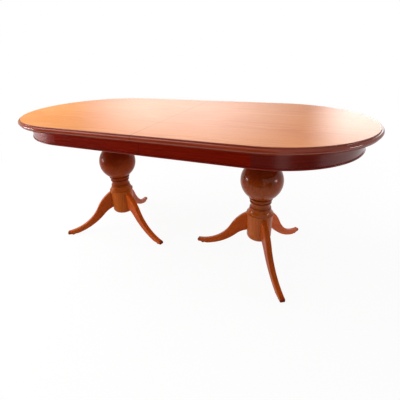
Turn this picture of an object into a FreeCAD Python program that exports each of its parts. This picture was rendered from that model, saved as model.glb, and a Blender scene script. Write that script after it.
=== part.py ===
import FreeCAD, Part
import os
import re

import Sketcher

# Driving sizes of the table, in millimetres and degrees.
SIZES = [
    # whole table
    ("table_height", 760),
    ("top_length", 1830),
    ("top_width", 900),
    ("top_thickness", 28),
    # moulded edge of the top
    ("rim_depth", 24),
    ("rim_fillet_height", 5),
    ("rim_fillet_inset", 8),
    ("rim_bulge", 5.6),
    ("quirk_height", 5),
    ("quirk_inset", 9),
    ("shoulder_width", 4),
    ("shoulder_radius", 5),
    # apron
    ("apron_inset", 56),
    ("apron_height", 72),
    ("rail_thickness", 20),
    ("bead_height", 8),
    ("bead_proud", 4),
    ("rail_dowel_diameter", 8),
    ("rail_dowel_length", 40),
    ("rail_dowel_pitch", 32),
    # glue blocks in the corner between apron and top
    ("block_width", 28),
    ("block_length", 60),
    ("end_block_angle", 120),
    # fits
    ("glue_gap", 0.1),
    ("slip_gap", 0.4),
    ("pivot_gap", 0.1),
    ("end_clearance", 2),
    # dowels across the seam of the top
    ("seam_dowel_diameter", 10),
    ("seam_dowel_length", 44),
    ("seam_dowel_reach", 20),
    ("seam_dowel_pitch", 220),
    # pedestals
    ("pedestal_spacing", 880),
    ("left_angle", -19.5),
    ("right_angle", 0),
    ("crown_width", 280),
    ("crown_thickness", 30),
    ("crown_chamfer", 10),
    ("crown_screw_edge", 30),
    ("spigot_diameter", 50),
    # turned column, from the drum upwards
    ("drum_bottom", 150),
    ("drum_top", 260),
    ("drum_foot_radius", 64.5),
    ("drum_head_radius", 66.5),
    ("drum_ring_height", 8),
    ("collar_foot_radius", 69),
    ("collar_head_radius", 55.5),
    ("collar_hollow_radius", 50),
    ("neck_ring_radius", 52),
    ("neck_radius", 51.5),
    ("neck_hollow_radius", 40),
    ("waist_ring_radius", 52),
    ("throat_radius", 51),
    ("globe_ring_radius", 54),
    ("upper_neck_radius", 52),
    ("flare_radius", 78),
    ("flare_hollow_radius", 120),
    ("abacus_radius", 86),
    # shares of the shaft's height, which runs from the drum's ring to the crown block
    ("collar_share", 0.07),
    ("neck_ring_share", 0.014),
    ("neck_share", 0.052),
    ("waist_ring_share", 0.018),
    ("throat_share", 0.022),
    ("globe_ring_share", 0.028),
    ("globe_share", 0.2465),
    ("upper_ring_share", 0.037),
    ("abacus_share", 0.124),
    ("abacus_round_share", 0.032),
    # turned cap under the drum
    ("cap_height", 36),
    ("cap_round", 22),
    ("cap_screw_diameter", 8),
    ("cap_screw_head", 16),
    ("cap_screw_head_height", 5),
    ("cap_screw_sink", 12),
    ("cap_screw_bite", 60),
    # sabre legs, as seen from the side: reach from the column's axis and height
    ("leg_thickness", 30),
    ("toe_thickness", 24),
    ("leg_edge_round", 5),
    ("knee_reach", 62),
    ("knee_drop", 2),
    ("upper_bend_reach", 160),
    ("upper_bend_height", 155),
    ("upper_sweep_radius", 245),
    ("toe_reach", 354),
    ("toe_height", 24),
    ("toe_bulge", 6),
    ("sole_length", 54),
    ("lower_bend_reach", 122),
    ("lower_bend_height", 110),
    ("lower_sweep_radius", 377),
    ("tongue_neck", 14),
    ("tongue_root", 22),
    ("tongue_reach", 44),
    ("tongue_drop", 6),
    # glides under the toes
    ("glide_setback", 26),
    ("glide_diameter", 20),
    ("glide_height", 4),
    ("glide_nail_diameter", 2.5),
    ("glide_nail_length", 9),
    # telescopic runners
    ("leaf_opening", 460),
    ("runner_grip_length", 180),
    ("runner_past_seam", 100),
    ("runner_past_bend", 45),
    ("runner_clearance", 12),
    ("runner_width", 32),
    ("runner_height", 46),
    ("slide_neck", 14),
    ("slide_tip", 18),
    ("slide_depth", 8),
    ("runner_screw_edge", 60),
    ("runner_screw_sink", 26),
    # wood screws
    ("wood_screw_diameter", 5),
    ("wood_screw_head", 10),
    ("wood_screw_head_height", 3),
    ("wood_screw_sink", 6),
    ("wood_screw_bite", 16),
    # lever catches that lock the halves together
    ("catch_setback", 45),
    ("catch_clearance", 20),
    ("plate_thickness", 3),
    ("catch_plate_width", 60),
    ("keeper_plate_length", 50),
    ("keeper_plate_front", 28),
    ("keeper_plate_back", 10),
    ("lever_thickness", 4),
    ("lever_width", 24),
    ("lever_tail", 12),
    ("lever_hook", 4),
    ("knob_diameter", 10),
    ("knob_height", 14),
    ("pivot_diameter", 8),
    ("pivot_head", 14),
    ("pivot_head_height", 3),
    ("stud_diameter", 8),
    ("stud_play", 1),
    ("catch_screw_offset", 18),
    ("keeper_screw_offset", 15),
    ("plate_screw_diameter", 4),
    ("plate_screw_head", 8),
    ("plate_screw_head_height", 2.5),
    ("plate_screw_bite", 14),
]
LEGS_PER_PEDESTAL = 3
BLOCKS_PER_RAIL = 2
END_BLOCKS = 5
RUNNER_SCREWS = 3
SEAM_DOWELS = 4
# Lengths in mm closer than this are equal, and a cut smaller than this volume in mm3 has missed.
CLOSE = 1e-6
LEAST_CUT = 0.1

# Heights and places that follow from the sizes above.
UNDERSIDE = "(table_height - top_thickness)"
APRON_FOOT = f"({UNDERSIDE} - apron_height)"
RAIL_FOOT = f"({APRON_FOOT} + bead_height)"
RAIL_HEIGHT = "(apron_height - bead_height)"
END_CENTRE = "(top_length / 2 - top_width / 2)"
APRON_FACE = "(top_width / 2 - apron_inset)"
RAIL_BACK = f"({APRON_FACE} - rail_thickness)"
RAIL_MIDDLE = f"({APRON_FACE} - rail_thickness / 2)"
PEDESTAL_REACH = "(pedestal_spacing / 2)"
CROWN_FOOT = f"({UNDERSIDE} - crown_thickness)"
CROWN_SCREW_SPREAD = "(crown_width - 2 * crown_screw_edge)"
SHAFT_FOOT = "(drum_top + drum_ring_height)"
SHAFT = f"({CROWN_FOOT} - {SHAFT_FOOT})"
KNEE_HEIGHT = "(drum_top - knee_drop)"
TONGUE_TOP = f"({KNEE_HEIGHT} - tongue_drop)"
GLIDE_REACH = "(toe_reach - glide_setback)"
CAP_FOOT = "(drum_bottom - cap_height)"
RUNNER_FOOT = f"({UNDERSIDE} - runner_height)"
SLIDE_LEVEL = f"({UNDERSIDE} - runner_height / 2)"
RUNNER_EDGE = f"({RAIL_BACK} - block_width - runner_clearance)"
RUNNER_OFFSET = f"({RUNNER_EDGE} - 3 * runner_width - 2 * slip_gap)"
INNER_RUNNER = f"({RUNNER_OFFSET} + runner_width / 2)"
OUTER_RUNNER = f"({RUNNER_EDGE} - runner_width / 2)"
RUNNER_REACH = f"({END_CENTRE} + runner_past_bend)"
MIDDLE_REACH = "(runner_grip_length + leaf_opening / 2 - runner_past_seam)"
LEVER_REACH = "(2 * catch_setback + lever_hook + lever_width / 2)"
CATCH_OFFSET = f"({RUNNER_OFFSET} - {LEVER_REACH} - catch_clearance)"
PLATE_FOOT = f"({UNDERSIDE} - plate_thickness)"
LEVER_FOOT = f"({PLATE_FOOT} - slip_gap - lever_thickness)"

# A half faces away from the seam. Its own front is the table's front on the right and its back on the left.
LEFT = {"name": "left", "facing": 180, "sign": "-", "turn": "left_angle", "near": "back", "far": "front"}
RIGHT = {"name": "right", "facing": 0, "sign": "", "turn": "right_angle", "near": "front", "far": "back"}

doc = FreeCAD.newDocument("dining_table")
sheet = doc.addObject("Spreadsheet::Sheet", "Sizes")
for row, (size_name, size_value) in enumerate(SIZES, start=1):
    sheet.set(f"A{row}", size_name)
    sheet.set(f"B{row}", str(size_value))
    sheet.setAlias(f"B{row}", size_name)
doc.recompute()
nodes = []


def cells(text):
    """Point each size named in a formula at its cell."""
    return re.sub(r"\b([a-z]+(?:_[a-z]+)+)\b", r"Sizes.\1", text)


def value(text):
    return float(sheet.evalExpression(cells(text)))


def bind(thing, prop, text):
    thing.setExpression(prop, cells(text))


def new_body(label, facing=0):
    body = doc.addObject("PartDesign::Body", label)
    body.Placement = FreeCAD.Placement(FreeCAD.Vector(), FreeCAD.Rotation(FreeCAD.Vector(0, 0, 1), facing))
    nodes.append(body)
    return body


def pedestal_body(label, side, angle="0"):
    """A body about the axis of one pedestal, turned by a formula from the half's own direction."""
    body = new_body(label)
    bind(body, "Placement.Base.x", side["sign"] + PEDESTAL_REACH)
    bind(body, "Placement.Rotation.Angle", f"{side['facing']} + {angle}")
    return body


def sketch_on(body, name, plane, lift="0"):
    sketch = body.newObject("Sketcher::SketchObject", f"{body.Label}_{name}")
    support = next(feature for feature in body.Origin.OriginFeatures if feature.Role == plane)
    sketch.AttachmentSupport = [(support, "")]
    sketch.MapMode = "FlatFace"
    bind(sketch, "AttachmentOffset.Base.z", lift)
    return sketch


def fix_point(sketch, edge, end, x, y):
    """Tie one point of an edge to formulas for its two coordinates."""
    for kind, text, axis in (("DistanceX", x, -2), ("DistanceY", y, -1)):
        if text == "0":
            sketch.addConstraint(Sketcher.Constraint("PointOnObject", edge, end, axis))
        else:
            index = sketch.addConstraint(Sketcher.Constraint(kind, -1, 1, edge, end, value(text)))
            bind(sketch, f"Constraints[{index}]", text)


def arc_between(start, finish, radius, side):
    """The short arc of a radius, with its centre on the left (1) or the right (-1) of the way along it."""
    chord = finish - start
    rise = max(radius ** 2 - chord.Length ** 2 / 4, 0) ** 0.5
    left = FreeCAD.Vector(-chord.y, chord.x, 0).normalize()
    centre = (start + finish) / 2 + left * rise * side
    middle = centre - left * side * radius
    return Part.Arc(start, middle, finish)


def outline(sketch, corners, closed=True):
    """An outline through corners (x, y). A corner (x, y, bend, side) starts an arc: bend is its radius, or
    "half" for a half circle, or "smooth" for an arc that runs on from the arc beside it."""
    count = len(corners)
    points = [FreeCAD.Vector(value(corner[0]), value(corner[1]), 0) for corner in corners]
    edges = []
    for index in range(count if closed else count - 1):
        start, finish = points[index], points[(index + 1) % count]
        bend, side = corners[index][2:] if len(corners[index]) > 2 else (None, 0)
        if bend is None:
            edges.append((sketch.addGeometry(Part.LineSegment(start, finish)), 1, 2, None))
            continue
        chord = (finish - start).Length
        radius = {"half": chord / 2, "smooth": 2 * chord}.get(bend) or value(bend)
        edge = sketch.addGeometry(arc_between(start, finish, radius, side))
        edges.append((edge, 1, 2, bend) if side > 0 else (edge, 2, 1, bend))
    for index, (edge, first, last, bend) in enumerate(edges):
        fix_point(sketch, edge, first, *corners[index][:2])
        if index + 1 == len(edges) and not closed:
            fix_point(sketch, edge, last, *corners[-1][:2])
        else:
            beside, start_end, _, next_bend = edges[(index + 1) % len(edges)]
            runs_on = "smooth" in (bend, next_bend) and bend and next_bend
            kind = "Tangent" if runs_on else "Coincident"
            sketch.addConstraint(Sketcher.Constraint(kind, edge, last, beside, start_end))
        if bend == "half":
            upright = abs(points[index].x - points[(index + 1) % count].x) < CLOSE
            kind, text = ("DistanceX", corners[index][0]) if upright else ("DistanceY", corners[index][1])
            if text == "0":
                sketch.addConstraint(Sketcher.Constraint("PointOnObject", edge, 3, -2 if upright else -1))
            else:
                held = sketch.addConstraint(Sketcher.Constraint(kind, -1, 1, edge, 3, value(text)))
                bind(sketch, f"Constraints[{held}]", text)
        elif bend not in (None, "smooth"):
            held = sketch.addConstraint(Sketcher.Constraint("Radius", edge, value(bend)))
            bind(sketch, f"Constraints[{held}]", bend)


def rectangle(sketch, low, high):
    outline(sketch, [low, (high[0], low[1]), high, (low[0], high[1])])


def circles(sketch, centres, diameter):
    for x, y in centres:
        centre = FreeCAD.Vector(value(x), value(y), 0)
        edge = sketch.addGeometry(Part.Circle(centre, FreeCAD.Vector(0, 0, 1), value(diameter) / 2))
        fix_point(sketch, edge, 3, x, y)
        held = sketch.addConstraint(Sketcher.Constraint("Diameter", edge, value(diameter)))
        bind(sketch, f"Constraints[{held}]", diameter)


def pad(body, sketch, length, backwards=False, both_ways=False):
    feature = body.newObject("PartDesign::Pad", sketch.Name + "_pad")
    feature.Profile = sketch
    bind(feature, "Length", length)
    feature.Reversed = backwards
    feature.SideType = "Symmetric" if both_ways else "One side"
    return feature


def pocket(body, sketch, depth, forwards=False, both_ways=False):
    """A cut against the sketch's normal, or along it where it goes forwards."""
    feature = body.newObject("PartDesign::Pocket", sketch.Name + "_cut")
    feature.Profile = sketch
    bind(feature, "Length", depth)
    feature.Reversed = forwards
    feature.SideType = "Symmetric" if both_ways else "One side"
    return feature


def revolve(body, sketch, kind="Revolution", angle="360"):
    feature = body.newObject(f"PartDesign::{kind}", sketch.Name + "_turned")
    feature.Profile = sketch
    feature.ReferenceAxis = (sketch, ["V_Axis"])
    bind(feature, "Angle", angle)
    return feature


def sweep(body, profile, path):
    """Carry a profile along a level path."""
    feature = body.newObject("PartDesign::AdditivePipe", profile.Name + "_swept")
    feature.Profile = profile
    feature.Spine = (path, [])
    return feature


def dress(body, kind, base, prop, size, chosen):
    """Round or bevel the edges of a feature that a test on an edge's middle chooses."""
    doc.recompute()
    names = []
    for number, edge in enumerate(base.Shape.Edges, start=1):
        middle = edge.valueAt((edge.FirstParameter + edge.LastParameter) / 2)
        if chosen(middle):
            names.append(f"Edge{number}")
    feature = body.newObject(f"PartDesign::{kind}", f"{body.Label}_{kind.lower()}")
    feature.Base = (base, names)
    bind(feature, prop, size)
    return feature


def pilot_holes(body, name, centres, diameter, bite):
    """Blind holes drilled up into the underside of the top."""
    sketch = sketch_on(body, name, "XY_Plane", UNDERSIDE)
    circles(sketch, centres, f"{diameter} + 2 * glue_gap")
    pocket(body, sketch, f"{bite} + end_clearance", forwards=True)


def counterbores(body, kind, centres, foot, seat, top):
    """Holes for one kind of screw that goes up through a piece, with a wide mouth for each head."""
    mouth = sketch_on(body, "mouths", "XY_Plane", foot)
    circles(mouth, centres, f"{kind}_head + 2 * slip_gap")
    pocket(body, mouth, f"{seat} - {foot}", forwards=True)
    shank = sketch_on(body, "shanks", "XY_Plane", seat)
    circles(shank, centres, f"{kind}_diameter + 2 * glue_gap")
    pocket(body, shank, f"{top} - {seat}", forwards=True)


def screws(body, kind, centres, seat, tip):
    """One kind of screw, upright with its head down, each bearing on its seat."""
    heads = sketch_on(body, "heads", "XY_Plane", seat)
    circles(heads, centres, f"{kind}_head")
    pad(body, heads, f"{kind}_head_height", backwards=True)
    shanks = sketch_on(body, "shanks", "XY_Plane", seat)
    circles(shanks, centres, f"{kind}_diameter")
    pad(body, shanks, f"{tip} - {seat}")


def grid(x, y, x_spread, y_spread):
    """The four corners of a rectangle about a point."""
    return [(f"{x} {a} {x_spread} / 2", f"{y} {b} {y_spread} / 2") for a in "+-" for b in "+-"]


def bulge_radius(height, bulge):
    """Radius of an arc of a height that stands out by its bulge."""
    return f"({height} ^ 2 / 4 + {bulge} ^ 2) / (2 * {bulge})"


def d_shape(reach):
    """Corners of a half table in plan: straight sides from the seam and a half round end."""
    return [("0", f"-{reach}"), (END_CENTRE, f"-{reach}", "half", 1), (END_CENTRE, reach), ("0", reach)]


CROWN_SCREW_PLACES = grid("0", "0", CROWN_SCREW_SPREAD, CROWN_SCREW_SPREAD)
RUNNER_SCREW_PITCH = f"({RUNNER_REACH} - 2 * runner_screw_edge) / {RUNNER_SCREWS - 1}"
RUNNER_SCREW_ROW = [f"runner_screw_edge + {number} * {RUNNER_SCREW_PITCH}" for number in range(RUNNER_SCREWS)]
INNER_SCREW_PLACES = [(x, f"-{INNER_RUNNER}") for x in RUNNER_SCREW_ROW]
OUTER_SCREW_PLACES = [(x, OUTER_RUNNER) for x in RUNNER_SCREW_ROW]
SEAM_LEVEL = f"({UNDERSIDE} + top_thickness / 2)"
SEAM_DOWEL_PLACES = [(f"{number - (SEAM_DOWELS - 1) / 2} * seam_dowel_pitch", SEAM_LEVEL)
                     for number in range(SEAM_DOWELS)]
# Screws of the catches stand outside the sweep of the levers, in a half's own frame.
CATCH_SCREW_PLACES = [
    (f"catch_setback {step} catch_screw_offset", f"{sign}({CATCH_OFFSET} {step} catch_screw_offset)")
    for step in "+-" for sign in ("", "-")]
KEEPER_SCREW_PLACES = [
    (f"catch_setback {step} keeper_screw_offset", f"{sign}({CATCH_OFFSET} - catch_screw_offset)")
    for step in "+-" for sign in ("", "-")]


def half_top(side):
    """Half of the top, with its edge moulding swept round the outline."""
    body = new_body(f"{side['name']}_top", side["facing"])
    board = sketch_on(body, "board", "XY_Plane", UNDERSIDE)
    outline(board, d_shape("(top_width / 2 - rim_depth / 2)"))
    pad(body, board, "top_thickness")

    def inset(text):
        return f"-(top_width / 2 - ({text}))"

    round_radius = bulge_radius("(top_thickness - rim_fillet_height - quirk_height)", "rim_bulge")
    path = sketch_on(body, "edge_path", "XY_Plane", UNDERSIDE)
    outline(path, d_shape("(top_width / 2)"), closed=False)
    rim = sketch_on(body, "rim", "YZ_Plane")
    outline(rim, [
        (inset("rim_depth"), UNDERSIDE),
        (inset("rim_fillet_inset"), UNDERSIDE),
        (inset("rim_fillet_inset"), f"{UNDERSIDE} + rim_fillet_height"),
        (inset("rim_bulge"), f"{UNDERSIDE} + rim_fillet_height", round_radius, -1),
        (inset("rim_bulge"), "table_height - quirk_height"),
        (inset("quirk_inset"), "table_height - quirk_height", "shoulder_radius", -1),
        (inset("quirk_inset + shoulder_width"), "table_height"),
        (inset("rim_depth"), "table_height"),
    ])
    sweep(body, rim, path)

    sockets = sketch_on(body, "dowel_holes", "YZ_Plane")
    if side is LEFT:
        circles(sockets, SEAM_DOWEL_PLACES, "seam_dowel_diameter + 2 * glue_gap")
        pocket(body, sockets, "seam_dowel_length - seam_dowel_reach", forwards=True)
    else:
        circles(sockets, SEAM_DOWEL_PLACES, "seam_dowel_diameter + 2 * slip_gap")
        pocket(body, sockets, "seam_dowel_reach + end_clearance", forwards=True)

    crown_places = grid(PEDESTAL_REACH, "0", CROWN_SCREW_SPREAD, CROWN_SCREW_SPREAD)
    wood_places = crown_places + INNER_SCREW_PLACES + OUTER_SCREW_PLACES
    pilot_holes(body, "wood_screw_holes", wood_places, "wood_screw_diameter", "wood_screw_bite")
    plate_places = CATCH_SCREW_PLACES if side is LEFT else KEEPER_SCREW_PLACES
    pilot_holes(body, "plate_screw_holes", plate_places, "plate_screw_diameter", "plate_screw_bite")


def rail_dowel_places(signs):
    levels = [f"{RAIL_FOOT} + {RAIL_HEIGHT} / 2 {step} rail_dowel_pitch / 2" for step in "+-"]
    return [(sign + RAIL_MIDDLE, level) for sign in signs for level in levels]


def rail_dowel_holes(body, signs, forwards):
    sketch = sketch_on(body, "dowel_holes", "YZ_Plane", END_CENTRE)
    circles(sketch, rail_dowel_places(signs), "rail_dowel_diameter + 2 * glue_gap")
    pocket(body, sketch, "rail_dowel_length / 2", forwards=forwards)


def apron(side):
    """Straight rails, the bent rail round the end, the bead below them and the dowels that join them."""
    for place, sign in (("near", "-"), ("far", "")):
        rail = new_body(f"{side['name']}_{side[place]}_rail", side["facing"])
        plan = sketch_on(rail, "plan", "XY_Plane", RAIL_FOOT)
        rectangle(plan, ("0", sign + RAIL_BACK), (END_CENTRE, sign + APRON_FACE))
        pad(rail, plan, RAIL_HEIGHT)
        rail_dowel_holes(rail, [sign], forwards=False)

    end_rail = new_body(f"{side['name']}_end_rail", side["facing"])
    plan = sketch_on(end_rail, "plan", "XY_Plane", RAIL_FOOT)
    outline(plan, [
        (END_CENTRE, f"-{APRON_FACE}", "half", 1),
        (END_CENTRE, APRON_FACE),
        (END_CENTRE, RAIL_BACK, "half", -1),
        (END_CENTRE, f"-{RAIL_BACK}"),
    ])
    pad(end_rail, plan, RAIL_HEIGHT)
    rail_dowel_holes(end_rail, ["-", ""], forwards=True)

    bead = new_body(f"{side['name']}_apron_bead", side["facing"])
    path = sketch_on(bead, "path", "XY_Plane", APRON_FOOT)
    outline(path, d_shape(RAIL_MIDDLE), closed=False)
    section = sketch_on(bead, "section", "YZ_Plane")
    nose = f"-({APRON_FACE} + bead_proud - bead_height / 2)"
    outline(section, [
        (f"-{RAIL_BACK}", APRON_FOOT),
        (nose, APRON_FOOT, "half", -1),
        (nose, RAIL_FOOT),
        (f"-{RAIL_BACK}", RAIL_FOOT),
    ])
    sweep(bead, section, path)

    dowels = new_body(f"{side['name']}_rail_dowels", side["facing"])
    ends = sketch_on(dowels, "ends", "YZ_Plane", END_CENTRE)
    circles(ends, rail_dowel_places(["-", ""]), "rail_dowel_diameter")
    pad(dowels, ends, "rail_dowel_length", both_ways=True)


def glue_blocks(side):
    """Three cornered blocks behind the straight rails, and curved ones behind the end rail."""
    straight = new_body(f"{side['name']}_rail_blocks", side["facing"])
    for number in range(BLOCKS_PER_RAIL):
        middle = f"{END_CENTRE} * {number + 0.5} / {BLOCKS_PER_RAIL}"
        section = sketch_on(straight, f"section_{number}", "YZ_Plane", middle)
        for sign in ("", "-"):
            outline(section, [
                (sign + RAIL_BACK, UNDERSIDE),
                (f"{sign}({RAIL_BACK} - block_width)", UNDERSIDE),
                (sign + RAIL_BACK, f"{UNDERSIDE} - block_width"),
            ])
        pad(straight, section, "block_length", both_ways=True)

    curved = new_body(f"{side['name']}_end_blocks")
    bind(curved, "Placement.Base.x", side["sign"] + END_CENTRE)
    bind(curved, "Placement.Rotation.Angle", f"{side['facing']} - end_block_angle / 2 + 360")
    section = sketch_on(curved, "section", "XZ_Plane")
    outline(section, [
        (RAIL_BACK, UNDERSIDE),
        (f"{RAIL_BACK} - block_width", UNDERSIDE),
        (RAIL_BACK, f"{UNDERSIDE} - block_width"),
    ])
    block = revolve(curved, section, angle=f"block_length / {RAIL_BACK} * 180 / pi")
    block.Midplane = True
    ring = curved.newObject("PartDesign::PolarPattern", curved.Label + "_ring")
    ring.Originals = [block]
    ring.Axis = (section, ["V_Axis"])
    bind(ring, "Angle", "end_block_angle")
    ring.Occurrences = END_BLOCKS
    curved.Tip = ring


def crown(side):
    """The block that carries a half top on its column, and the screws that hold it."""
    block = pedestal_body(f"{side['name']}_crown_block", side)
    plan = sketch_on(block, "plan", "XY_Plane", CROWN_FOOT)
    rectangle(plan, ("-crown_width / 2", "-crown_width / 2"), ("crown_width / 2", "crown_width / 2"))
    slab = pad(block, plan, "crown_thickness")
    foot = value(CROWN_FOOT)
    dress(block, "Chamfer", slab, "Size", "crown_chamfer", lambda middle: abs(middle.z - foot) < CLOSE)
    bore = sketch_on(block, "bore", "XY_Plane", CROWN_FOOT)
    circles(bore, [("0", "0")], "spigot_diameter + 2 * glue_gap")
    pocket(block, bore, "crown_thickness", forwards=True)
    seat = f"({CROWN_FOOT} + wood_screw_sink)"
    counterbores(block, "wood_screw", CROWN_SCREW_PLACES, CROWN_FOOT, seat, UNDERSIDE)

    fixings = pedestal_body(f"{side['name']}_crown_screws", side)
    screws(fixings, "wood_screw", CROWN_SCREW_PLACES, seat, f"({UNDERSIDE} + wood_screw_bite)")


def leg_turn(side, number):
    """Direction of a leg from its half's own direction: the first leg points to the middle of the table."""
    return f"{side['turn']} + 180 + {number} * 360 / {LEGS_PER_PEDESTAL}"


def tongue_outline(sketch, gap):
    """Plan of a leg's dovetail tongue along X, wider towards the column's axis, grown by a gap."""
    outline(sketch, [
        (f"tongue_reach - {gap}", f"-(tongue_root / 2 + {gap})"),
        ("drum_head_radius", f"-(tongue_neck / 2 + {gap})"),
        ("drum_head_radius", f"tongue_neck / 2 + {gap}"),
        (f"tongue_reach - {gap}", f"tongue_root / 2 + {gap}"),
    ])


def column(side):
    """The turned column, with a slot in its drum for the tongue of each leg."""
    body = pedestal_body(f"{side['name']}_column", side, leg_turn(side, 0))
    half = sketch_on(body, "half", "XZ_Plane")
    globe_radius = f"(globe_share * {SHAFT})"
    globe_rise = f"sqrt({globe_radius} ^ 2 - globe_ring_radius ^ 2)"
    collar_top = f"({SHAFT_FOOT} + collar_share * {SHAFT})"
    neck_foot = f"({collar_top} + neck_ring_share * {SHAFT})"
    neck_top = f"({neck_foot} + neck_share * {SHAFT})"
    waist_top = f"({neck_top} + waist_ring_share * {SHAFT})"
    throat_top = f"({waist_top} + throat_share * {SHAFT})"
    globe_foot = f"({throat_top} + globe_ring_share * {SHAFT})"
    globe_top = f"({globe_foot} + 2 * {globe_rise})"
    ring_top = f"({globe_top} + upper_ring_share * {SHAFT})"
    flare_top = f"({CROWN_FOOT} - abacus_share * {SHAFT})"
    outline(half, [
        ("0", "drum_bottom"),
        ("drum_foot_radius", "drum_bottom"),
        ("drum_head_radius", "drum_top", "half", 1),
        ("drum_head_radius", SHAFT_FOOT),
        ("collar_foot_radius", SHAFT_FOOT, "collar_hollow_radius", -1),
        ("collar_head_radius", collar_top),
        ("neck_ring_radius", collar_top, "half", 1),
        ("neck_ring_radius", neck_foot),
        ("neck_radius", neck_foot, "neck_hollow_radius", -1),
        ("neck_radius", neck_top),
        ("waist_ring_radius", neck_top, "half", 1),
        ("waist_ring_radius", waist_top),
        ("throat_radius", waist_top),
        ("throat_radius", throat_top),
        ("globe_ring_radius", throat_top, "half", 1),
        ("globe_ring_radius", globe_foot, globe_radius, 1),
        ("globe_ring_radius", globe_top, "half", 1),
        ("globe_ring_radius", ring_top),
        ("upper_neck_radius", ring_top, "flare_hollow_radius", -1),
        ("flare_radius", flare_top),
        ("abacus_radius", flare_top, "half", 1),
        ("abacus_radius", f"{flare_top} + abacus_round_share * {SHAFT}"),
        ("abacus_radius", CROWN_FOOT),
        ("spigot_diameter / 2", CROWN_FOOT),
        ("spigot_diameter / 2", UNDERSIDE),
        ("0", UNDERSIDE),
    ])
    revolve(body, half)

    slot = sketch_on(body, "slot", "XY_Plane", "drum_bottom")
    tongue_outline(slot, "glue_gap")
    cut = pocket(body, slot, f"{TONGUE_TOP} + glue_gap - drum_bottom", forwards=True)
    slots = body.newObject("PartDesign::PolarPattern", body.Label + "_slots")
    slots.Originals = [cut]
    slots.Axis = (half, ["V_Axis"])
    slots.Angle = 360
    slots.Occurrences = LEGS_PER_PEDESTAL
    body.Tip = slots

    pilot = sketch_on(body, "pilot", "XY_Plane", "drum_bottom")
    circles(pilot, [("0", "0")], "cap_screw_diameter + 2 * glue_gap")
    pocket(body, pilot, "cap_screw_bite + end_clearance", forwards=True)


def base_cap(side):
    """The turned cap that closes the leg slots under the drum, and its screw."""
    cap = pedestal_body(f"{side['name']}_base_cap", side)
    half = sketch_on(cap, "half", "XZ_Plane")
    outline(half, [
        ("0", CAP_FOOT),
        ("drum_foot_radius - cap_round", CAP_FOOT, "cap_round", 1),
        ("drum_foot_radius", f"{CAP_FOOT} + cap_round"),
        ("drum_foot_radius", "drum_bottom"),
        ("0", "drum_bottom"),
    ])
    revolve(cap, half)
    seat = f"({CAP_FOOT} + cap_screw_sink)"
    counterbores(cap, "cap_screw", [("0", "0")], CAP_FOOT, seat, "drum_bottom")

    fixing = pedestal_body(f"{side['name']}_cap_screw", side)
    screws(fixing, "cap_screw", [("0", "0")], seat, "(drum_bottom + cap_screw_bite)")


def leg(label, side, number):
    """A sabre leg along X from the column's axis: swelling knee, long sweep, level sole and thin toe."""
    body = pedestal_body(label, side, leg_turn(side, number))
    shape = sketch_on(body, "side", "XZ_Plane")
    outline(shape, [
        ("tongue_reach", KNEE_HEIGHT),
        ("knee_reach", KNEE_HEIGHT, "smooth", -1),
        ("upper_bend_reach", "upper_bend_height", "upper_sweep_radius", 1),
        ("toe_reach", "toe_height", bulge_radius("(toe_height - glide_height)", "toe_bulge"), -1),
        ("toe_reach", "glide_height"),
        ("toe_reach - sole_length", "glide_height", "lower_sweep_radius", -1),
        ("lower_bend_reach", "lower_bend_height", "smooth", 1),
        ("knee_reach", "drum_bottom"),
        ("tongue_reach", "drum_bottom"),
    ])
    pad(body, shape, "leg_thickness", both_ways=True)

    taper = sketch_on(body, "taper", "XY_Plane")
    beyond = "toe_reach + toe_height"
    for sign in ("", "-"):
        outline(taper, [
            ("tongue_reach", f"{sign}leg_thickness / 2"),
            (beyond, f"{sign}toe_thickness / 2"),
            (beyond, f"{sign}leg_thickness"),
            ("tongue_reach", f"{sign}leg_thickness"),
        ])
    tapered = pocket(body, taper, "2 * drum_top", both_ways=True)
    root = value("tongue_reach") + CLOSE
    least = value("toe_thickness") / 4
    dress(body, "Fillet", tapered, "Radius", "leg_edge_round",
          lambda middle: middle.x > root and abs(middle.y) > least)

    cope = sketch_on(body, "cope", "XZ_Plane")
    outline(cope, [
        ("0", "drum_bottom - drum_foot_radius"),
        ("drum_foot_radius + glue_gap", "drum_bottom - drum_foot_radius"),
        ("drum_foot_radius + glue_gap", "drum_bottom"),
        ("drum_head_radius + glue_gap", "drum_top"),
        ("0", "drum_top"),
    ])
    revolve(body, cope, kind="Groove")

    tongue = sketch_on(body, "tongue", "XY_Plane", "drum_bottom")
    tongue_outline(tongue, "0")
    pad(body, tongue, f"{TONGUE_TOP} - drum_bottom")
    nail = sketch_on(body, "nail_hole", "XY_Plane", "glide_height")
    circles(nail, [(GLIDE_REACH, "0")], "glide_nail_diameter + 2 * glue_gap")
    pocket(body, nail, "glide_nail_length", forwards=True)


def glides(side):
    """Nail on glides under the toes of one pedestal."""
    body = pedestal_body(f"{side['name']}_glides", side, leg_turn(side, 0))
    angles = [number * 360 / LEGS_PER_PEDESTAL for number in range(LEGS_PER_PEDESTAL)]
    places = [(f"{GLIDE_REACH} * cos({angle})", f"{GLIDE_REACH} * sin({angle})") for angle in angles]
    discs = sketch_on(body, "discs", "XY_Plane")
    circles(discs, places, "glide_diameter")
    pad(body, discs, "glide_height")
    nails = sketch_on(body, "nails", "XY_Plane", "glide_height")
    circles(nails, places, "glide_nail_diameter")
    pad(body, nails, "glide_nail_length")


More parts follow.
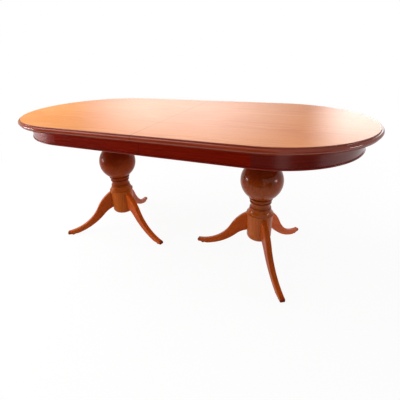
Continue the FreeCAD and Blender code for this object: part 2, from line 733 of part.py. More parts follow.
def runner_section(sketch, face, back):
    """Section of a fixed runner, with a dovetail groove in its face towards the middle runner."""
    into = f"({back} - {face}) / runner_width"
    outline(sketch, [
        (face, RUNNER_FOOT),
        (face, f"{SLIDE_LEVEL} - slide_neck / 2 - slip_gap"),
        (f"{face} + {into} * slide_depth", f"{SLIDE_LEVEL} - slide_tip / 2 - slip_gap"),
        (f"{face} + {into} * slide_depth", f"{SLIDE_LEVEL} + slide_tip / 2 + slip_gap"),
        (face, f"{SLIDE_LEVEL} + slide_neck / 2 + slip_gap"),
        (face, UNDERSIDE),
        (back, UNDERSIDE),
        (back, RUNNER_FOOT),
    ])


def half_runners(side):
    """The two runners fixed under a half: the inner one of one slide and the outer one of the other."""
    seat = f"({RUNNER_FOOT} + runner_screw_sink)"
    inner_face = f"-({RUNNER_OFFSET} + runner_width)"
    outer_face = f"({RUNNER_EDGE} - runner_width)"
    for place, face, back, places in (
            ("near", inner_face, f"(-{RUNNER_OFFSET})", INNER_SCREW_PLACES),
            ("far", outer_face, RUNNER_EDGE, OUTER_SCREW_PLACES)):
        runner = new_body(f"{side['name']}_{side[place]}_runner", side["facing"])
        section = sketch_on(runner, "section", "YZ_Plane", "-runner_past_seam")
        runner_section(section, face, back)
        pad(runner, section, f"runner_past_seam + {RUNNER_REACH}")
        counterbores(runner, "wood_screw", places, RUNNER_FOOT, seat, UNDERSIDE)

    fixings = new_body(f"{side['name']}_runner_screws", side["facing"])
    places = INNER_SCREW_PLACES + OUTER_SCREW_PLACES
    screws(fixings, "wood_screw", places, seat, f"({UNDERSIDE} + wood_screw_bite)")


def middle_runner(label, facing):
    """The free runner of a slide, with a dovetail tongue along each side."""
    body = new_body(label, facing)
    near = f"({RUNNER_OFFSET} + runner_width + slip_gap)"
    far = f"({near} + runner_width)"
    section = sketch_on(body, "section", "YZ_Plane", f"-{MIDDLE_REACH}")
    outline(section, [
        (near, f"{RUNNER_FOOT} + slip_gap"),
        (far, f"{RUNNER_FOOT} + slip_gap"),
        (far, f"{SLIDE_LEVEL} - slide_neck / 2"),
        (f"{far} + slide_depth", f"{SLIDE_LEVEL} - slide_tip / 2"),
        (f"{far} + slide_depth", f"{SLIDE_LEVEL} + slide_tip / 2"),
        (far, f"{SLIDE_LEVEL} + slide_neck / 2"),
        (far, f"{UNDERSIDE} - slip_gap"),
        (near, f"{UNDERSIDE} - slip_gap"),
        (near, f"{SLIDE_LEVEL} + slide_neck / 2"),
        (f"{near} - slide_depth", f"{SLIDE_LEVEL} + slide_tip / 2"),
        (f"{near} - slide_depth", f"{SLIDE_LEVEL} - slide_tip / 2"),
        (near, f"{SLIDE_LEVEL} - slide_neck / 2"),
    ])
    pad(body, section, f"2 * {MIDDLE_REACH}")


def seam_dowels():
    """Dowels glued into the left half that line the two halves up."""
    body = new_body("seam_dowels", LEFT["facing"])
    ends = sketch_on(body, "ends", "YZ_Plane", "-seam_dowel_reach")
    circles(ends, SEAM_DOWEL_PLACES, "seam_dowel_diameter")
    pad(body, ends, "seam_dowel_length")


def plates(label, facing, places, corners, screw_places, pin):
    """A pair of steel plates under the top, drilled for their screws and for the pin in each one."""
    body = new_body(label, facing)
    plan = sketch_on(body, "plan", "XY_Plane", PLATE_FOOT)
    for low, high in corners:
        rectangle(plan, low, high)
    pad(body, plan, "plate_thickness")
    for name, centres, diameter in (("screw_holes", screw_places, "plate_screw_diameter"),
                                    ("pin_holes", places, pin)):
        holes = sketch_on(body, name, "XY_Plane", PLATE_FOOT)
        circles(holes, centres, f"{diameter} + 2 * glue_gap")
        pocket(body, holes, "plate_thickness", forwards=True)


def plate_screws(label, facing, places):
    body = new_body(label, facing)
    screws(body, "plate_screw", places, PLATE_FOOT, f"({UNDERSIDE} + plate_screw_bite)")


def catches():
    """Lever catches on the left half and the studs on the right half that they hook."""
    places = [("catch_setback", sign + CATCH_OFFSET) for sign in ("", "-")]
    catch_corners = [
        (("catch_setback - catch_plate_width / 2", f"{sign}{CATCH_OFFSET} - catch_plate_width / 2"),
         ("catch_setback + catch_plate_width / 2", f"{sign}{CATCH_OFFSET} + catch_plate_width / 2"))
        for sign in ("", "-")]
    plates("catch_plates", LEFT["facing"], places, catch_corners, CATCH_SCREW_PLACES, "pivot_diameter")
    plate_screws("catch_screws", LEFT["facing"], CATCH_SCREW_PLACES)
    keeper_corners = [
        (("catch_setback - keeper_plate_length / 2", f"{sign}({CATCH_OFFSET} - keeper_plate_front)"),
         ("catch_setback + keeper_plate_length / 2", f"{sign}({CATCH_OFFSET} + keeper_plate_back)"))
        for sign in ("", "-")]
    plates("keeper_plates", RIGHT["facing"], places, keeper_corners, KEEPER_SCREW_PLACES, "stud_diameter")
    plate_screws("keeper_screws", RIGHT["facing"], KEEPER_SCREW_PLACES)

    pivots = new_body("catch_pivots", LEFT["facing"])
    screws(pivots, "pivot", places, LEVER_FOOT, UNDERSIDE)
    studs = new_body("keeper_studs", RIGHT["facing"])
    ends = sketch_on(studs, "ends", "XY_Plane", f"{LEVER_FOOT} - pivot_head_height")
    circles(ends, places, "stud_diameter")
    pad(studs, ends, f"{UNDERSIDE} - {LEVER_FOOT} + pivot_head_height")


def catch_lever(label, sign, open_angle, mouth):
    """A flat lever about its pivot. It points along X when it hooks its stud, and stands open at rest."""
    body = new_body(label, open_angle)
    bind(body, "Placement.Base.x", "-catch_setback")
    bind(body, "Placement.Base.y", sign + CATCH_OFFSET)
    stud = "(2 * catch_setback)"
    plan = sketch_on(body, "plan", "XY_Plane", LEVER_FOOT)
    outline(plan, [
        ("-lever_tail", "-lever_width / 2"),
        (f"{stud} + lever_hook", "-lever_width / 2", "half", 1),
        (f"{stud} + lever_hook", "lever_width / 2"),
        ("-lever_tail", "lever_width / 2", "half", 1),
    ])
    pad(body, plan, "lever_thickness")
    knob = sketch_on(body, "knob", "XY_Plane", LEVER_FOOT)
    circles(knob, [("catch_setback", "0")], "knob_diameter")
    pad(body, knob, "knob_height", backwards=True)
    hole = sketch_on(body, "pivot_hole", "XY_Plane", LEVER_FOOT)
    circles(hole, [("0", "0")], "pivot_diameter + 2 * pivot_gap")
    pocket(body, hole, "lever_thickness", forwards=True)
    half_slot = "(stud_diameter / 2 + stud_play)"
    edge = f"{'-' if mouth < 0 else ''}(lever_width / 2 + stud_play)"
    slot = sketch_on(body, "slot", "XY_Plane", LEVER_FOOT)
    outline(slot, [
        (f"{stud} - {half_slot}", edge),
        (f"{stud} + {half_slot}", edge),
        (f"{stud} + {half_slot}", "0", "half", -mouth),
        (f"{stud} - {half_slot}", "0"),
    ])
    pocket(body, slot, "lever_thickness", forwards=True)


for half in (LEFT, RIGHT):
    half_top(half)
    apron(half)
    glue_blocks(half)
    crown(half)
    column(half)
    base_cap(half)
    for leg_number, leg_name in enumerate(("inner", half["near"], half["far"])):
        leg(f"{half['name']}_{leg_name}_leg", half, leg_number)
    glides(half)
    half_runners(half)
middle_runner("middle_back_runner", 0)
middle_runner("middle_front_runner", 180)
seam_dowels()
catches()
catch_lever("back_catch_lever", "", 90, -1)
catch_lever("front_catch_lever", "-", -90, 1)
doc.recompute()

for thing in doc.Objects:
    if {"Invalid", "Error"} & set(thing.State):
        raise RuntimeError(f"{thing.Label} failed: {thing.State}")
    if thing.TypeId in ("PartDesign::Pocket", "PartDesign::Groove"):
        if thing.BaseFeature.Shape.Volume - thing.Shape.Volume < LEAST_CUT:
            raise RuntimeError(f"{thing.Label} cuts nothing")
for node in nodes:
    if node.Shape.isNull() or not node.Shape.isValid():
        raise RuntimeError(f"{node.Label} has no valid shape")

os.makedirs("parts", exist_ok=True)
for node in nodes:
    node.Shape.exportStep(f"parts/{node.Label}.step")
    print(node.Label, len(node.Shape.Solids), round(node.Shape.Volume))
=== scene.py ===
import math

import bpy
from mathutils import Matrix, Vector

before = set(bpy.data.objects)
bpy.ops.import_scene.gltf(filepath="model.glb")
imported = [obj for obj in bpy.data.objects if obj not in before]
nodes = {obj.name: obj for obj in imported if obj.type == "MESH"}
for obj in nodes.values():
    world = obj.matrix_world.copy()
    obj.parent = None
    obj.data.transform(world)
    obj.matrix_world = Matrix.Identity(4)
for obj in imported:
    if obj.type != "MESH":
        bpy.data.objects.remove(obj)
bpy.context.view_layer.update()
scene = bpy.context.scene
scene.view_settings.view_transform = "Standard"
print("frame loaded:", len(nodes), "pieces")


# One socket of a node tree. Arithmetic on it adds Math nodes, and node() adds any other kind.
class Wire:
    def __init__(self, tree, socket=None):
        self.tree = tree
        self.socket = socket

    def node(self, kind, settings=None, inputs=None, output=0):
        made = self.tree.nodes.new(kind)
        for name, setting in (settings or {}).items():
            if name == "stops":
                self.setStops(made.color_ramp, setting)
            else:
                setattr(made, name, setting)
        for name, given in (inputs or {}).items():
            if isinstance(given, Wire):
                self.tree.links.new(given.socket, made.inputs[name])
            else:
                made.inputs[name].default_value = given
        return Wire(self.tree, made.outputs[output] if len(made.outputs) else None)

    def setStops(self, ramp, stops):
        while len(ramp.elements) < len(stops):
            ramp.elements.new(1.0)
        for element, (position, shade) in zip(ramp.elements, stops):
            element.position = position
            element.color = shade

    def output(self, name):
        return Wire(self.tree, self.socket.node.outputs[name])

    def math(self, operation, *values):
        return self.node("ShaderNodeMath", {"operation": operation}, dict(enumerate(values)))

    def __add__(self, other):
        return self.math("ADD", self, other)

    def __sub__(self, other):
        return self.math("SUBTRACT", self, other)

    def __rsub__(self, other):
        return self.math("SUBTRACT", other, self)

    def __mul__(self, other):
        return self.math("MULTIPLY", self, other)

    def __truediv__(self, other):
        return self.math("DIVIDE", self, other)

    def __rtruediv__(self, other):
        return self.math("DIVIDE", other, self)

    def __pow__(self, other):
        return self.math("POWER", self, other)

    def __rpow__(self, other):
        return self.math("POWER", other, self)

    __radd__ = __add__
    __rmul__ = __mul__

    def between(self, low, high):
        # 0 below low, 1 above high, smooth in between
        return self.node("ShaderNodeMapRange", {"interpolation_type": "SMOOTHSTEP"},
                         {"Value": self, "From Min": low, "From Max": high})

    def stretched(self, scale):
        return self.node("ShaderNodeVectorMath", {"operation": "MULTIPLY"}, {0: self, 1: scale})

    def drawnOut(self, ratio):
        # finer across the grain than along it
        return self.stretched((1.0, ratio, ratio))

    def noise(self, scale, detail=2.0, roughness=0.5):
        return self.node("ShaderNodeTexNoise", {"noise_dimensions": "3D"},
                         {"Vector": self, "Scale": scale, "Detail": detail, "Roughness": roughness})

    def swing(self, amount):
        # noise about one half becomes a swing to both sides of nothing
        return (self - 0.5) * amount

    def mixed(self, start, finish):
        # colour that goes from start to finish as this value goes from 0 to 1
        return self.node("ShaderNodeMix", {"data_type": "RGBA"}, {0: self, 6: start, 7: finish}, output=2)

    def darkened(self, amount, shade):
        # this colour multiplied towards a shade by an amount
        return self.node("ShaderNodeMix", {"data_type": "RGBA", "blend_type": "MULTIPLY"},
                         {0: amount, 6: self, 7: shade}, output=2)


def colour(red, green, blue):
    # screen colour 0 to 255 as linear light
    return tuple((v / 255 / 12.92) if v <= 10 else ((v / 255 + 0.055) / 1.055) ** 2.4
                 for v in (red, green, blue)) + (1.0,)


black, white = colour(0, 0, 0), colour(255, 255, 255)


def startMaterial(name):
    material = bpy.data.materials.new(name)
    material.use_nodes = True
    material.node_tree.nodes.clear()
    return material, Wire(material.node_tree)


def closeMaterial(wire, surface, fixed):
    # surface holds what varies, fixed holds what is the same all over
    shader = wire.node("ShaderNodeBsdfPrincipled", None, {**surface, **fixed})
    wire.node("ShaderNodeOutputMaterial", None, {"Surface": shader})


def give(material, *names):
    for name in names:
        for slot in nodes[name].material_slots:
            slot.material = material


# Board coordinates: x along the grain, y across it and z through the board, from a centre on the piece.
def boardCoords(wire, centre=(0.0, 0.0, 0.0), turn=0.0, slope=0.0):
    place = wire.node("ShaderNodeTexCoord", output="Object")
    spin = Matrix.Rotation(math.radians(slope), 3, "Y") @ Matrix.Rotation(math.radians(-turn), 3, "Z")
    shift = -(spin @ Vector(centre))
    return place.node("ShaderNodeMapping", {"vector_type": "POINT"},
                      {"Vector": place, "Location": shift, "Rotation": spin.to_euler()})


# Upright board coordinates: the grain runs up the piece.
def uprightCoords(wire, centre, turn):
    flat = boardCoords(wire, centre, turn)
    split = flat.node("ShaderNodeSeparateXYZ", None, {0: flat})
    return split.node("ShaderNodeCombineXYZ", None,
                      {"X": split.output("Z"), "Y": split.output("X"), "Z": split.output("Y")})


bendEdge = 0.0002    # half the width over which a straight rail becomes a bent one


# Rail coordinates: along the straight rails it is x, and round the end it is the angle times the radius.
def railCoords(wire, bendStart, bendRadius):
    place = wire.node("ShaderNodeTexCoord", output="Object")
    split = place.node("ShaderNodeSeparateXYZ", None, {0: place})
    x, y, z = split, split.output("Y"), split.output("Z")
    past = x.math("ABSOLUTE", x) - bendStart
    bent = past.between(-bendEdge, bendEdge)
    angle = y.math("ARCTAN2", y, past)
    radius = (past * past + y * y) ** 0.5
    along = bent * (angle * bendRadius) + (1 - bent) * x
    across = bent * radius + (1 - bent) * y.math("ABSOLUTE", y)
    return split.node("ShaderNodeCombineXYZ", None, {"X": along, "Y": across, "Z": z})


# How far a point lies from the table's middle line: half the width of a rounded plan through it.
def planReach(wire, bendStart):
    place = wire.node("ShaderNodeTexCoord", output="Object")
    split = place.node("ShaderNodeSeparateXYZ", None, {0: place})
    past = split.math("MAXIMUM", split.math("ABSOLUTE", split) - bendStart, 0.0)
    return (past * past + split.output("Y") * split.output("Y")) ** 0.5


woodGrain = {
    # how much finer each pattern is across the grain
    "driftRatio": 4.0, "swayRatio": 6.0, "fibreRatio": 36.0, "poreRatio": 22.0, "stainRatio": 2.0,
    "swayPace": 2.5, "fibreDetail": 4.0, "fibreRoughness": 0.6, "poreSpan": (0.62, 0.72), "ringPower": 1.6,
    "figureSpan": (0.15, 0.85), "stainSpan": (0.35, 0.75), "wearSpan": (0.55, 0.8), "fibreGloss": 0.12,
    "stainGloss": 0.08, "fibreHeight": 0.6, "poreHeight": 0.4, "bumpDepth": 0.0004, "index": 1.45}


# Wood on board coordinates. Rings are a sine of the distance from the tree's heart, bent by slow noise;
# fibres are noise drawn out along the grain; pores are short dark dashes; stain is a slow drift of colour.
def woodPattern(board, look):
    split = board.node("ShaderNodeSeparateXYZ", None, {0: board})
    across, through = split.output("Y"), split.output("Z")
    if look["leaf"]:
        across = across.math("PINGPONG", across, look["leaf"])    # book matched leaves of veneer
    drift = board.drawnOut(woodGrain["driftRatio"]).noise(look["driftScale"], 3.0)
    sway = board.drawnOut(woodGrain["swayRatio"]).noise(look["driftScale"] * woodGrain["swayPace"])
    heart = across - look["heart"][0]
    depth = through - look["heart"][1] + drift.swing(look["swing"])
    distance = (heart * heart + depth * depth) ** 0.5 + sway.swing(look["wander"])
    rings = distance.math("SINE", distance * (2 * math.pi / look["ring"])) * 0.5 + 0.5
    fibres = board.drawnOut(woodGrain["fibreRatio"]).noise(
        look["fibreScale"], woodGrain["fibreDetail"], woodGrain["fibreRoughness"])
    poreNoise = board.drawnOut(woodGrain["poreRatio"]).noise(look["poreScale"], 1.0)
    pores = poreNoise.between(*woodGrain["poreSpan"])
    stain = board.drawnOut(woodGrain["stainRatio"]).noise(look["stainScale"])

    figure = rings ** woodGrain["ringPower"] * look["ringShare"] + fibres * (1 - look["ringShare"])
    base = figure.between(*woodGrain["figureSpan"]).mixed(look["dark"], look["light"])
    base = base.darkened(pores * look["poreShare"], look["pore"])
    base = base.darkened(stain.between(*woodGrain["stainSpan"]) * look["stainShare"], look["stain"])
    rough = look["rough"] + fibres.swing(woodGrain["fibreGloss"]) + stain.swing(woodGrain["stainGloss"])
    height = fibres * woodGrain["fibreHeight"] + (1 - pores) * woodGrain["poreHeight"]
    coat = look["coat"] - stain.between(*woodGrain["wearSpan"]) * look["coatWear"]
    return {"base": base, "rough": rough, "height": height, "coat": coat}


def closeWood(wire, wood, look):
    bump = wire.node("ShaderNodeBump", None, {"Strength": look["bump"], "Distance": woodGrain["bumpDepth"],
                                              "Height": wood["height"]})
    closeMaterial(wire, {"Base Color": wood["base"], "Roughness": wood["rough"], "Normal": bump,
                         "Coat Weight": wood["coat"]},
                  {"IOR": woodGrain["index"], "Specular IOR Level": look["specular"],
                   "Specular Tint": look["sheen"], "Coat Roughness": look["coatRough"],
                   "Coat IOR": look["coatIndex"]})


def woodFinish(name, coords, look, shading=None):
    material, wire = startMaterial(name)
    wood = woodPattern(coords(wire), look)
    if shading:
        wood["base"] = shading(wire, wood["base"])
    closeWood(wire, wood, look)
    return material


# One lacquered wood is written here in lit and shaded copies: light amber on the sunlit top, darker red on
# the rim, rails and end rails in the shade under it, orange on the column and legs. These differences are
# painted light and shade.
topLook = {
    "dark": colour(221, 131, 66), "light": colour(240, 154, 89), "pore": colour(150, 92, 58),
    "stain": colour(236, 200, 176), "heart": (0.05, -0.06), "swing": 0.05, "wander": 0.01, "ring": 0.007,
    "ringShare": 0.28, "driftScale": 1.1, "fibreScale": 7.0, "poreScale": 42.0, "poreShare": 0.3,
    "stainScale": 1.6, "stainShare": 0.35, "rough": 0.3, "bump": 0.05, "leaf": 0.15, "specular": 0.0,
    "sheen": colour(255, 220, 190), "coat": 0.4, "coatWear": 0.06, "coatRough": 0.14, "coatIndex": 1.5}
rimLook = {
    **topLook, "dark": colour(118, 34, 12), "light": colour(150, 55, 21), "pore": colour(140, 90, 70),
    "heart": (0.3, 0.7), "leaf": 0.0, "coat": 0.6}
railLook = {
    **rimLook, "dark": colour(108, 13, 3), "light": colour(136, 28, 6), "heart": (0.3, 0.75), "ring": 0.006,
    "ringShare": 0.12, "stain": colour(205, 150, 130), "coat": 0.2, "coatWear": 0.02, "coatRough": 0.08,
    "specular": 0.08, "sheen": colour(255, 110, 60)}
endRailLook = {
    **railLook, "dark": colour(104, 16, 6), "light": colour(132, 30, 10), "coat": 0.6, "coatRough": 0.24}
beadLook = {**railLook, "coat": 0.3}
turnedLook = {
    **railLook, "dark": colour(156, 71, 19), "light": colour(194, 101, 33), "heart": (0.03, 0.02),
    "driftScale": 2.6, "fibreScale": 9.0, "ring": 0.005, "stainScale": 4.0, "coatRough": 0.06,
    "sheen": colour(255, 150, 90)}
legLook = {
    **turnedLook, "dark": colour(163, 64, 15), "light": colour(198, 95, 30), "heart": (0.06, 0.09),
    "coat": 0.06, "coatRough": 0.12}
bareLook = {
    **topLook, "dark": colour(186, 142, 96), "light": colour(216, 178, 130), "pore": colour(170, 130, 90),
    "stain": colour(220, 200, 175), "leaf": 0.0, "heart": (0.05, 0.68), "rough": 0.6, "bump": 0.25,
    "coat": 0.0, "coatWear": 0.0, "specular": 0.3}

# Each pedestal's place, the way its inner leg points in degrees, and how much lighter or darker each leg
# is,
# in turn, and its end rail above it: painted light and shade, like the painted shade on its column.
pedestals = {
    "left": {"x": -0.44, "heading": -19.5, "coat": 0.08, "endRailPaintedLight": 1.2,
             "neckPaintedShade": colour(198, 166, 184), "legs": {"inner": 1.12, "back": 1.0, "front": 0.86}},
    "right": {"x": 0.44, "heading": 180.0, "coat": 0.3, "endRailPaintedLight": 0.8,
              "neckPaintedShade": colour(218, 205, 212), "legs": {"inner": 0.95, "front": 0.9, "back": 1.35}}}
legShape = {
    "slope": 38.0, "spread": 120.0, "middle": (0.2, 0.0, 0.12), "toe": (0.335, 0.36),
    "toeShade": colour(150, 100, 80), "toePatchScale": 60.0, "toePatchSpan": (0.2, 0.6)}
apron = {"bendStart": 0.465, "bendRadius": 0.384}
top = {
    "bendStart": 0.465, "reach": 0.45, "corner": (0.0, -0.45, 0.73), "rimInset": (0.0115, 0.0135),
    "seamSpan": (0.0011, 0.0022), "seamDarkness": 0.6}
turning = {
    "foot": 0.15, "head": 0.702, "grooveWidth": 0.0025, "grooveShade": colour(130, 56, 34),
    "grooveDepth": 0.2,
    "grooves": (0.26, 0.268, 0.2984, 0.3045, 0.327, 0.3348, 0.3444, 0.3565, 0.5413, 0.5573),
    # heights over which the painted shade comes in
    "neck": (0.25, 0.33), "globe": (0.42, 0.52), "globePaintedShade": colour(188, 154, 142)}


# Where the halves meet: 1 in a fine line across the middle of the table.
def seamLine(wire):
    place = wire.node("ShaderNodeTexCoord", output="Object")
    side = place.node("ShaderNodeSeparateXYZ", None, {0: place})
    return 1 - side.math("ABSOLUTE", side).between(*top["seamSpan"])


def railShading(wire, base):
    return base.darkened(seamLine(wire), railLook["stain"])


# The top: veneer laid lengthwise inside a moulded rim of solid wood, darker along the seam.
def topFinish():
    material, wire = startMaterial("topWood")
    veneer = woodPattern(boardCoords(wire, top["corner"]), topLook)
    rim = woodPattern(railCoords(wire, top["bendStart"], top["reach"]), rimLook)
    inset = top["reach"] - planReach(wire, top["bendStart"])
    inside = inset.between(*top["rimInset"])
    wood = {part: inside * veneer[part] + (1 - inside) * rim[part] for part in ("rough", "height", "coat")}
    base = inside.mixed(rim["base"], veneer["base"])
    wood["base"] = base.darkened(seamLine(wire) * top["seamDarkness"], rimLook["dark"])
    closeWood(wire, wood, topLook)
    return material


# Turned wood is darker up the column: painted shade under the top. It is also darker in a notch at each
# groove.
def turnedShading(wire, base, neckPaintedShade):
    place = wire.node("ShaderNodeTexCoord", output="Object")
    height = place.node("ShaderNodeSeparateXYZ", None, {0: place}).output("Z")
    base = base.darkened(height.between(*turning["neck"]), neckPaintedShade)
    base = base.darkened(height.between(*turning["globe"]), turning["globePaintedShade"])
    span = turning["head"] - turning["foot"]
    half = turning["grooveWidth"] / span
    stops = [(0.0, black)]
    for groove in turning["grooves"]:
        middle = (groove - turning["foot"]) / span
        stops += [(middle - half, black), (middle, white), (middle + half, black)]
    notch = place.node("ShaderNodeValToRGB", {"stops": stops}, {0: (height - turning["foot"]) / span})
    return base.darkened(notch * turning["grooveDepth"], turning["grooveShade"])


# Legs are darker, in patches, towards the tips of the toes.
def legShading(wire, base, axis):
    place = boardCoords(wire, axis)
    flat = place.stretched((1.0, 1.0, 0.0))
    reach = flat.node("ShaderNodeVectorMath", {"operation": "LENGTH"}, {0: flat}, output="Value")
    toePatches = place.noise(legShape["toePatchScale"], 3.0).between(*legShape["toePatchSpan"])
    return base.darkened(reach.between(*legShape["toe"]) * toePatches, legShape["toeShade"])


def railFinish(name, look):
    return woodFinish(name, lambda wire: railCoords(wire, **apron), look, railShading)


def paintedLitCopy(look, tone):
    # the same wood made lighter or darker by a factor: painted light and shade on one piece
    shades = {part: tuple(value * tone for value in look[part][:3]) + (1.0,) for part in ("dark", "light")}
    return look | shades


give(topFinish(), "left_top", "right_top")
railWood = railFinish("railWood", railLook)
beadWood = railFinish("beadWood", beadLook)
for side, pedestal in pedestals.items():
    give(railWood, f"{side}_front_rail", f"{side}_back_rail")
    endRailWood = railFinish(f"{side}EndRailWood", paintedLitCopy(endRailLook, pedestal["endRailPaintedLight"]))
    give(endRailWood, f"{side}_end_rail")
    give(beadWood, f"{side}_apron_bead")
    axis = (pedestal["x"], 0.0, 0.0)
    aim = pedestal["heading"]
    columnLook = turnedLook | {"coat": pedestal["coat"]}
    columnWood = woodFinish(f"{side}ColumnWood", lambda wire: uprightCoords(wire, axis, aim), columnLook,
                            lambda wire, base: turnedShading(wire, base, pedestal["neckPaintedShade"]))
    give(columnWood, f"{side}_column")
    capWood = woodFinish(f"{side}CapWood", lambda wire: boardCoords(wire, axis, aim), columnLook)
    give(capWood, f"{side}_base_cap")
    for number, (leg, tone) in enumerate(pedestal["legs"].items()):
        heading = aim + legShape["spread"] * number
        middle = Matrix.Rotation(math.radians(heading), 3, "Z") @ Vector(legShape["middle"]) + Vector(axis)
        legWood = woodFinish(f"{side}{leg.title()}LegWood",
                             lambda wire: boardCoords(wire, middle, heading, -legShape["slope"]),
                             paintedLitCopy(legLook, tone), lambda wire, base: legShading(wire, base, axis))
        give(legWood, f"{side}_{leg}_leg")
print("lacquered wood done")

bareWood = woodFinish("bareWood", boardCoords, bareLook)
barePieces = ("rail_dowels", "rail_blocks", "end_blocks", "crown_block", "front_runner", "back_runner")
for side in pedestals:
    give(bareWood, *(f"{side}_{piece}" for piece in barePieces))
give(bareWood, "middle_front_runner", "middle_back_runner", "seam_dowels")
print("bare wood done")

plating = {
    "brushRatio": 30.0, "cloudSpan": (0.3, 0.7), "brushGloss": 0.2, "cloudGloss": 0.15, "bump": 0.1,
    "bumpDepth": 0.0001}


# Plated metal: fine brushing one way and cloudy plating.
def platedFinish(name, look):
    material, wire = startMaterial(name)
    place = boardCoords(wire)
    brushing = place.drawnOut(plating["brushRatio"]).noise(look["brushScale"])
    cloud = place.noise(look["cloudScale"], 3.0)
    base = cloud.between(*plating["cloudSpan"]).mixed(look["dark"], look["light"])
    rough = look["rough"] + brushing.swing(plating["brushGloss"]) + cloud.swing(plating["cloudGloss"])
    bump = wire.node("ShaderNodeBump", None, {"Strength": plating["bump"], "Distance": plating["bumpDepth"],
                                              "Height": brushing})
    closeMaterial(wire, {"Base Color": base, "Roughness": rough, "Normal": bump}, {"Metallic": 1.0})
    return material


zincLook = {"dark": colour(150, 150, 146), "light": colour(190, 190, 186), "brushScale": 60.0,
            "cloudScale": 90.0, "rough": 0.36}
yellowLook = {"dark": colour(150, 124, 66), "light": colour(204, 176, 104), "brushScale": 40.0,
              "cloudScale": 50.0, "rough": 0.32}
zinc = platedFinish("zinc", zincLook)
yellow = platedFinish("yellowPlate", yellowLook)
for side in pedestals:
    give(zinc, *(f"{side}_{piece}" for piece in ("crown_screws", "cap_screw", "runner_screws")))
give(zinc, "catch_screws", "keeper_screws")
give(yellow, "catch_plates", "catch_pivots", "keeper_plates", "keeper_studs",
     "front_catch_lever", "back_catch_lever")

glideLook = {
    "dark": colour(34, 26, 21), "light": colour(56, 44, 36), "grain": 900.0, "shade": 45.0, "rough": 0.55,
    "grainGloss": 0.2, "bump": 0.2, "bumpDepth": 0.0001}


# Moulded glide: fine grain with a slow change of shade.
def glideFinish(look):
    material, wire = startMaterial("glidePlastic")
    place = boardCoords(wire)
    grain = place.noise(look["grain"])
    shade = place.noise(look["shade"])
    bump = wire.node("ShaderNodeBump", None,
                     {"Strength": look["bump"], "Distance": look["bumpDepth"], "Height": grain})
    closeMaterial(wire, {"Base Color": shade.mixed(look["dark"], look["light"]),
                         "Roughness": look["rough"] + grain.swing(look["grainGloss"]), "Normal": bump}, {})
    return material


give(glideFinish(glideLook), "left_glides", "right_glides")
print("metal and glides done")

studio = {
    # the floor is lit white by a share, glow, which grows to 1 between two distances from the table
    "floorHalf": 6.0, "floorColour": (0.94, 0.94, 0.94, 1.0), "whiteSpan": (1.2, 2.6), "glow": 0.93,
    "fill": 0.46,    # strength of the world as a light
    "lamps": (
        # name, place, aim, width, height, watts, what it lights: the colour, reflections or both
        ("overhead", (-1.6, -0.5, 2.7), (-0.3, 0.0, 0.6), 2.6, 2.4, 54.0, "both"),
        ("leftWindow", (-2.9, 0.1, 0.95), (0.0, 0.0, 0.4), 1.4, 0.9, 22.0, "colour"),
        ("frontWindow", (-2.3, -1.15, 1.05), (-0.1, 0.0, 0.3), 0.9, 0.5, 20.0, "colour"),
        ("sideWindow", (2.3, 1.3, 0.8), (0.4, 0.0, 0.3), 0.35, 0.5, 10.0, "colour"),
        ("leftGleam", (-2.5, -0.9, 0.57), (0.44, 0.0, 0.45), 0.8, 0.3, 14.0, "reflections"),
        ("rightGleam", (2.2, -0.1, 0.6), (0.44, 0.0, 0.45), 0.4, 0.26, 5.0, "reflections")),
    "screens": (
        # name, place, aim, width, height, brightness, share of the width at full brightness, tint
        ("backScreen", (-1.6, 3.0, 1.5), (-1.6, 0.0, 1.15), 4.6, 1.5, 3.4, 0.2, white),
        ("endScreen", (1.33, 3.0, 1.44), (0.63, 0.0, 0.94), 1.9, 1.3, 5.8, 0.27, white),
        ("amberScreen", (-5.2, 2.4, 1.6), (-0.8, 0.0, 0.8), 4.4, 2.6, 1.25, 0.5, (1.0, 0.88, 0.5, 1.0))),
    "cards": (
        # name, place, aim, width, height
        ("frontCard", (-1.1, -1.95, 1.1), (-1.1, 0.25, 2.5), 4.0, 2.55),
        ("sideCard", (1.5, -1.2, 0.31), (0.0, -1.2, 0.31), 1.2, 0.62)),
    "cardColour": (0.02, 0.02, 0.02, 1.0)}


# Rays that see the background as it is: from the camera, in reflections and through clear pieces.
def seenRays(wire):
    path = wire.node("ShaderNodeLightPath", output="Is Camera Ray")
    seen = path.math("MAXIMUM", path, path.output("Is Glossy Ray"))
    return seen.math("MAXIMUM", seen, path.output("Is Transmission Ray"))


# A flat sheet, x and y to each side of its middle, with an empty material.
def flatSheet(name, x, y):
    mesh = bpy.data.meshes.new(name)
    mesh.from_pydata([(-x, -y, 0), (x, -y, 0), (x, y, 0), (-x, y, 0)], [], [(0, 1, 2, 3)])
    material, wire = startMaterial(name)
    mesh.materials.append(material)
    return bpy.data.objects.new(name, mesh), wire


def addFloor(look):
    floor, wire = flatSheet("floor", look["floorHalf"], look["floorHalf"])
    scene.collection.objects.link(floor)
    place = boardCoords(wire)
    away = place.node("ShaderNodeVectorMath", {"operation": "LENGTH"}, {0: place}, output="Value")
    paint = wire.node("ShaderNodeBsdfDiffuse", None, {"Color": look["floorColour"]})
    shine = wire.node("ShaderNodeEmission", None, {"Color": white, "Strength": 1.0})
    fade = away.between(*look["whiteSpan"]) * (1.0 - look["glow"]) + look["glow"]
    both = wire.node("ShaderNodeMixShader", None, {0: fade * seenRays(wire), 1: paint, 2: shine})
    wire.node("ShaderNodeOutputMaterial", None, {"Surface": both})


# Where a lamp, screen or card stands, turned to face its aim.
def faced(thing, place, aim, front):
    thing.location = place
    thing.rotation_euler = (Vector(aim) - Vector(place)).to_track_quat(front, "Y").to_euler()
    thing.visible_camera = False
    scene.collection.objects.link(thing)


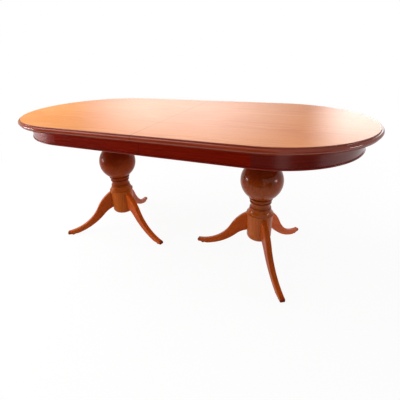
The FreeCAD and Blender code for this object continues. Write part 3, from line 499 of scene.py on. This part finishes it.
def addLamp(name, place, aim, width, height, watts, lights):
    lamp = bpy.data.lights.new(name, "AREA")
    lamp.shape = "RECTANGLE"
    lamp.size, lamp.size_y = width, height
    lamp.energy = watts
    holder = bpy.data.objects.new(name, lamp)
    faced(holder, place, aim, "-Z")
    holder.visible_glossy = lights != "colour"
    holder.visible_diffuse = lights != "reflections"


def addSheet(name, place, aim, width, height):
    sheet, wire = flatSheet(name, width / 2, height / 2)
    faced(sheet, place, aim, "Z")
    sheet.visible_diffuse = sheet.visible_shadow = False    # seen in reflections only
    return wire


# A dark card keeps the reflections on its side of the table dark.
def addCard(shade, name, place, aim, width, height):
    wire = addSheet(name, place, aim, width, height)
    cloth = wire.node("ShaderNodeBsdfDiffuse", None, {"Color": shade})
    wire.node("ShaderNodeOutputMaterial", None, {"Surface": cloth})


# A lit cloth screen, bright in its middle and fading to nothing at its edges.
def addScreen(name, place, aim, width, height, brightness, core, tint):
    wire = addSheet(name, place, aim, width, height)
    x, y = width / 2, height / 2
    spot = wire.node("ShaderNodeTexCoord", output="Object")
    split = spot.node("ShaderNodeSeparateXYZ", None, {0: spot})
    across = 1 - split.math("ABSOLUTE", split).between(x * core, x)
    upward = 1 - split.math("ABSOLUTE", split.output("Y")).between(y * core, y)
    clear = wire.node("ShaderNodeBsdfTransparent")
    cloth = wire.node("ShaderNodeEmission", None, {"Color": tint, "Strength": brightness})
    both = wire.node("ShaderNodeMixShader", None, {0: across * upward, 1: clear, 2: cloth})
    wire.node("ShaderNodeOutputMaterial", None, {"Surface": both})


def addWorld(fill):
    world = bpy.data.worlds.new("studio")
    scene.world = world
    world.use_nodes = True
    world.node_tree.nodes.clear()
    wire = Wire(world.node_tree)
    glow = wire.node("ShaderNodeBackground", None,
                     {"Color": white, "Strength": seenRays(wire) * (1.0 - fill) + fill})
    wire.node("ShaderNodeOutputWorld", None, {"Surface": glow})


view = {
    "place": (0.6814, -1.3626, 1.0527), "turn": -23.32, "tilt": 22.23, "roll": -1.695,    # metres, degrees
    "focalPixels": 294.34, "centrePixel": (198.24, 172.02), "imagePixels": 400, "sensor": 36.0,
    "nearest": 0.01}


def addCamera(look):
    turn, tilt, roll = (math.radians(look[part]) for part in ("turn", "tilt", "roll"))
    ahead = Vector((math.sin(turn) * math.cos(tilt), math.cos(turn) * math.cos(tilt), -math.sin(tilt)))
    right = Vector((math.cos(turn), -math.sin(turn), 0.0))
    up = right.cross(ahead)
    rolledRight = math.cos(roll) * right + math.sin(roll) * up
    rolledUp = math.cos(roll) * up - math.sin(roll) * right
    lens = bpy.data.cameras.new("camera")
    camera = bpy.data.objects.new("camera", lens)
    scene.collection.objects.link(camera)
    camera.matrix_world = Matrix.Translation(look["place"]) @ Matrix(
        (rolledRight, rolledUp, -ahead)).transposed().to_4x4()
    pixels = look["imagePixels"]
    lens.sensor_width = look["sensor"]
    lens.lens = look["sensor"] * look["focalPixels"] / pixels
    lens.shift_x = (pixels / 2 - look["centrePixel"][0]) / pixels
    lens.shift_y = (look["centrePixel"][1] - pixels / 2) / pixels
    lens.clip_start = look["nearest"]
    scene.camera = camera


addFloor(studio)
for lamp in studio["lamps"]:
    addLamp(*lamp)
for screen in studio["screens"]:
    addScreen(*screen)
for card in studio["cards"]:
    addCard(studio["cardColour"], *card)
addWorld(studio["fill"])
addCamera(view)
print("studio and camera done")
